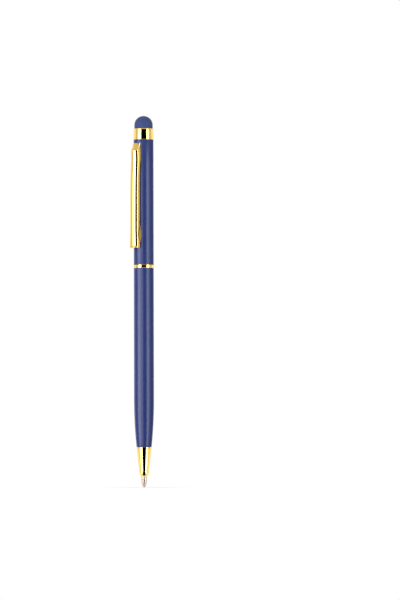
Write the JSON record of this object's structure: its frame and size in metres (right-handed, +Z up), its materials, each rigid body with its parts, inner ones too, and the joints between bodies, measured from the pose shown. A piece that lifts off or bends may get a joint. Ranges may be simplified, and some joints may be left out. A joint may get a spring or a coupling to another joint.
{
  "type": "ballpoint pen",
  "caption": "Slim twist-action ballpoint pen with a lacquered metal barrel, gold-coloured fittings, a pressed pocket clip and a rubber touchscreen dome on its top end.",
  "frame": {"origin": "on the pen's long axis, level with the lobes of the clip, where a pocket's edge is gripped", "axes": "+Z up the pen from its writing point to its stylus dome; the clip is on the -Y side"},
  "size_m": [0.0074, 0.0096, 0.1359],
  "materials": {
    "blue_lacquer": "satin lacquer",
    "gold_plate": "polished plating",
    "brass": "turned",
    "steel": "drawn",
    "nickel_silver": "bright turned",
    "blue_rubber": "matte silicone",
    "white_plastic": "moulded",
    "black_plastic": "moulded",
    "blue_ink": "thick paste"
  },
  "bodies": {
    "lower_half": {"lower_barrel": "blue_lacquer", "nose_cone": "gold_plate", "centre_band": "gold_plate", "guide_sleeve": "brass", "retaining_ring": "steel"},
    "upper_half": {"upper_barrel": "blue_lacquer", "helix_sleeve": "brass", "drive_collar": "white_plastic", "clip_lock": "black_plastic", "ferrule": "gold_plate", "stylus_dome": "blue_rubber", "dome_core": "brass"},
    "clip": {"clip": "gold_plate"},
    "refill": {"refill_carrier": "white_plastic", "drive_pin": "steel", "refill_plug": "black_plastic", "refill_tube": "steel", "ink_column": "blue_ink", "refill_tip": "nickel_silver", "writing_ball": "steel"}
  },
  "joints": [
    {"name": "twist", "type": "hinge", "parent": "lower_half", "child": "upper_half", "pos_m": [0, 0, 0], "axis": [0, 0, 1], "range_deg": [0, 180]},
    {"name": "refill_slide", "type": "slide", "parent": "lower_half", "child": "refill", "axis": [0, 0, 1], "range_m": [0, 0.00515]},
    {"name": "clip_flex", "type": "hinge", "parent": "upper_half", "child": "clip", "pos_m": [0, -0.0037, 0.0332], "axis": [-1, 0, 0], "range_deg": [0, 3], "stiffness_Nm_per_rad": 2, "springref_deg": -0.57}
  ],
  "couplings": [
    {"joint": "twist", "follows": "refill_slide", "rad_per_m": 610.01}
  ]
}
